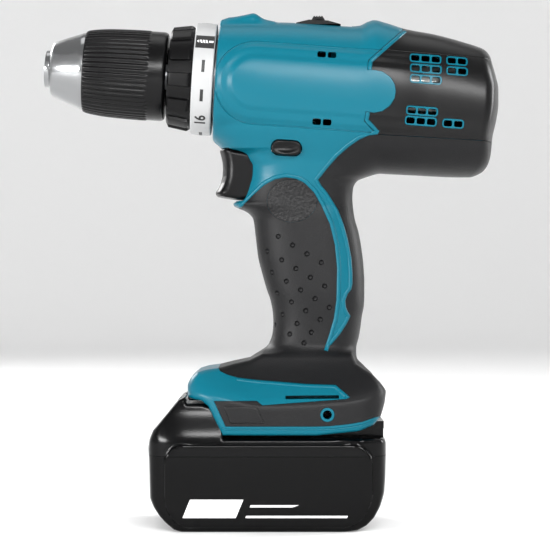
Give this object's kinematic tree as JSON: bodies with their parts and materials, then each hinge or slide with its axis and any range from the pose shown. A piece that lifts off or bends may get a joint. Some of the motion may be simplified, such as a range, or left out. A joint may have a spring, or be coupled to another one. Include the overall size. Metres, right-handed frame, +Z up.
{
  "type": "cordless drill driver",
  "caption": "Pistol-grip cordless drill driver with a keyless chuck, torque dial, two-speed gearbox and slide-off battery",
  "frame": {"origin": "centre of the bounding box at the battery's underside", "axes": "+Z up, -X towards the chuck, +Y towards the drill's right side, the side with the screws"},
  "size_m": [0.2156, 0.077, 0.2418],
  "materials": {
    "teal_shell": "semi-gloss moulded plastic",
    "black_cover": "satin moulded plastic",
    "grip_rubber": "textured soft grip",
    "cast_alloy": "as-cast",
    "dark_steel": "oiled, hardened",
    "bright_steel": "ground",
    "chuck_steel": "turned and polished",
    "plated_can": "zinc plated",
    "bronze": "sintered",
    "copper": "machined",
    "black_plastic": "fine spark texture",
    "black_sleeve": "satin with moulded ribs",
    "dial_face": "silver-grey with printed marks",
    "clear_lens": "clear",
    "battery_shell": "glossy moulded plastic",
    "cell_can": "shrink-wrapped"
  },
  "bodies": {
    "housing": {"housing_left": "teal_shell", "housing_right": "teal_shell", "motor_cover_left": "black_cover", "motor_cover_right": "black_cover", "grip_left": "grip_rubber", "grip_right": "grip_rubber", "gear_case": "cast_alloy", "motor_plate": "dark_steel", "ring_gear_rear": "dark_steel", "ring_gear_front": "dark_steel", "spindle_bearing": "bronze", "rear_bearing": "bright_steel", "motor_can": "plated_can", "brush_cap": "black_plastic", "clutch_spring": "bright_steel", "trigger_spring": "bright_steel", "switch_body": "black_plastic", "led_lens": "clear_lens", "terminal_block": "black_plastic", "housing_screw_1": "dark_steel", "housing_screw_2": "dark_steel", "housing_screw_3": "dark_steel", "housing_screw_4": "dark_steel", "housing_screw_5": "dark_steel"},
    "motor": {"motor_shaft": "bright_steel", "motor_pinion": "bright_steel", "armature_core": "dark_steel", "commutator": "copper", "cooling_fan": "black_plastic"},
    "carrier_1": {"carrier_1": "bright_steel"},
    "carrier_2": {"carrier_2": "bright_steel"},
    "spindle": {"spindle": "bright_steel", "chuck_body": "chuck_steel", "chuck_screw": "dark_steel"},
    "chuck_sleeve": {"chuck_sleeve": "black_sleeve", "jaw_nut": "dark_steel"},
    "torque_ring": {"torque_ring": "black_sleeve", "torque_dial": "dial_face"},
    "clutch_nut": {"clutch_nut": "bronze"},
    "speed_lever": {"speed_lever": "black_plastic"},
    "speed_ring": {"speed_ring": "bright_steel"},
    "trigger": {"trigger": "black_plastic"},
    "direction_lever": {"direction_lever": "black_plastic"},
    "battery": {"battery_case": "battery_shell", "battery_cover": "battery_shell", "cell_pack": "cell_can", "latch_spring": "bright_steel"},
    "battery_latch": {"battery_latch": "black_plastic"},
    "planet_1_1": {"planet_1_1": "dark_steel"},
    "planet_1_2": {"planet_1_2": "dark_steel"},
    "planet_1_3": {"planet_1_3": "dark_steel"},
    "planet_2_1": {"planet_2_1": "dark_steel"},
    "planet_2_2": {"planet_2_2": "dark_steel"},
    "planet_2_3": {"planet_2_3": "dark_steel"},
    "planet_3_1": {"planet_3_1": "dark_steel"},
    "planet_3_2": {"planet_3_2": "dark_steel"},
    "planet_3_3": {"planet_3_3": "dark_steel"},
    "jaw_1": {"jaw_1": "dark_steel"},
    "jaw_2": {"jaw_2": "dark_steel"},
    "jaw_3": {"jaw_3": "dark_steel"}
  },
  "joints": [
    {"name": "motor_spin", "type": "hinge", "parent": "housing", "child": "motor", "pos_m": [-0.0262, 0, 0.2108], "axis": [-0.9978, 0, 0.0669], "continuous": true},
    {"name": "carrier_1_spin", "type": "hinge", "parent": "housing", "child": "carrier_1", "pos_m": [-0.0262, 0, 0.2108], "axis": [-0.9978, 0, 0.0669], "continuous": true},
    {"name": "carrier_2_spin", "type": "hinge", "parent": "housing", "child": "carrier_2", "pos_m": [-0.0262, 0, 0.2108], "axis": [-0.9978, 0, 0.0669], "continuous": true},
    {"name": "spindle_spin", "type": "hinge", "parent": "housing", "child": "spindle", "pos_m": [-0.0262, 0, 0.2108], "axis": [-0.9978, 0, 0.0669], "continuous": true},
    {"name": "planet_1_1_spin", "type": "hinge", "parent": "carrier_1", "child": "planet_1_1", "pos_m": [-0.0262, 0.01215, 0.2108], "axis": [-0.9978, 0, 0.0669], "continuous": true},
    {"name": "planet_1_2_spin", "type": "hinge", "parent": "carrier_1", "child": "planet_1_2", "pos_m": [-0.0269, -0.00607, 0.2003], "axis": [-0.9978, 0, 0.0669], "continuous": true},
    {"name": "planet_1_3_spin", "type": "hinge", "parent": "carrier_1", "child": "planet_1_3", "pos_m": [-0.02549, -0.00607, 0.2213], "axis": [-0.9978, 0, 0.0669], "continuous": true},
    {"name": "planet_2_1_spin", "type": "hinge", "parent": "carrier_2", "child": "planet_2_1", "pos_m": [-0.0262, 0.01215, 0.2108], "axis": [-0.9978, 0, 0.0669], "continuous": true},
    {"name": "planet_2_2_spin", "type": "hinge", "parent": "carrier_2", "child": "planet_2_2", "pos_m": [-0.0269, -0.00607, 0.2003], "axis": [-0.9978, 0, 0.0669], "continuous": true},
    {"name": "planet_2_3_spin", "type": "hinge", "parent": "carrier_2", "child": "planet_2_3", "pos_m": [-0.02549, -0.00607, 0.2213], "axis": [-0.9978, 0, 0.0669], "continuous": true},
    {"name": "planet_3_1_spin", "type": "hinge", "parent": "spindle", "child": "planet_3_1", "pos_m": [-0.0262, 0.01215, 0.2108], "axis": [-0.9978, 0, 0.0669], "continuous": true},
    {"name": "planet_3_2_spin", "type": "hinge", "parent": "spindle", "child": "planet_3_2", "pos_m": [-0.0269, -0.00607, 0.2003], "axis": [-0.9978, 0, 0.0669], "continuous": true},
    {"name": "planet_3_3_spin", "type": "hinge", "parent": "spindle", "child": "planet_3_3", "pos_m": [-0.02549, -0.00607, 0.2213], "axis": [-0.9978, 0, 0.0669], "continuous": true},
    {"name": "chuck_sleeve_turn", "type": "hinge", "parent": "spindle", "child": "chuck_sleeve", "pos_m": [-0.0262, 0, 0.2108], "axis": [-0.9978, 0, 0.0669], "range_deg": [-2160, 0]},
    {"name": "jaw_1_slide", "type": "slide", "parent": "spindle", "child": "jaw_1", "axis": [-0.9872, 0, -0.1593], "range_m": [0, 0.024]},
    {"name": "jaw_2_slide", "type": "slide", "parent": "spindle", "child": "jaw_2", "axis": [-0.9647, -0.1948, 0.1774], "range_m": [0, 0.024]},
    {"name": "jaw_3_slide", "type": "slide", "parent": "spindle", "child": "jaw_3", "axis": [-0.9647, 0.1948, 0.1774], "range_m": [0, 0.024]},
    {"name": "torque_ring_turn", "type": "hinge", "parent": "housing", "child": "torque_ring", "pos_m": [-0.0262, 0, 0.2108], "axis": [-0.9978, 0, 0.0669], "range_deg": [-315, 0]},
    {"name": "clutch_nut_slide", "type": "slide", "parent": "torque_ring", "child": "clutch_nut", "axis": [-0.9978, 0, 0.0669], "range_m": [-0.0032, 0], "deforming": ["clutch_spring"]},
    {"name": "speed_lever_slide", "type": "slide", "parent": "housing", "child": "speed_lever", "axis": [0.9978, 0, -0.0669], "range_m": [0, 0.005]},
    {"name": "speed_ring_slide", "type": "slide", "parent": "housing", "child": "speed_ring", "axis": [0.9978, 0, -0.0669], "range_m": [0, 0.005]},
    {"name": "trigger_pull", "type": "slide", "parent": "housing", "child": "trigger", "axis": [1, 0, 0], "range_m": [0, 0.007], "stiffness_N_per_m": 600, "springref_m": -0.005, "deforming": ["trigger_spring"]},
    {"name": "direction_push", "type": "slide", "parent": "housing", "child": "direction_lever", "axis": [0, 1, 0], "range_m": [-0.0026, 0.0026]},
    {"name": "battery_slide", "type": "slide", "parent": "housing", "child": "battery", "axis": [-1, 0, 0], "range_m": [0, 0.095]},
    {"name": "latch_press", "type": "slide", "parent": "battery", "child": "battery_latch", "axis": [0, 0, -1], "range_m": [0, 0.004], "stiffness_N_per_m": 900, "springref_m": -0.004, "deforming": ["latch_spring"]}
  ],
  "couplings": [
    {"joint": "carrier_1_spin", "follows": "motor_spin", "ratio": 0.27778},
    {"joint": "carrier_2_spin", "follows": "motor_spin", "ratio": 0.07716},
    {"joint": "spindle_spin", "follows": "motor_spin", "ratio": 0.021433},
    {"joint": "planet_1_1_spin", "follows": "motor_spin", "ratio": -0.90278},
    {"joint": "planet_1_2_spin", "follows": "motor_spin", "ratio": -0.90278},
    {"joint": "planet_1_3_spin", "follows": "motor_spin", "ratio": -0.90278},
    {"joint": "planet_2_1_spin", "follows": "motor_spin", "ratio": -0.25077},
    {"joint": "planet_2_2_spin", "follows": "motor_spin", "ratio": -0.25077},
    {"joint": "planet_2_3_spin", "follows": "motor_spin", "ratio": -0.25077},
    {"joint": "planet_3_1_spin", "follows": "motor_spin", "ratio": -0.069659},
    {"joint": "planet_3_2_spin", "follows": "motor_spin", "ratio": -0.069659},
    {"joint": "planet_3_3_spin", "follows": "motor_spin", "ratio": -0.069659},
    {"joint": "jaw_1_slide", "follows": "chuck_sleeve_turn", "m_per_rad": -0.00063662},
    {"joint": "jaw_2_slide", "follows": "chuck_sleeve_turn", "m_per_rad": -0.00063662},
    {"joint": "jaw_3_slide", "follows": "chuck_sleeve_turn", "m_per_rad": -0.00063662},
    {"joint": "clutch_nut_slide", "follows": "torque_ring_turn", "m_per_rad": 0.00058205},
    {"joint": "speed_ring_slide", "follows": "speed_lever_slide", "ratio": 1}
  ]
}
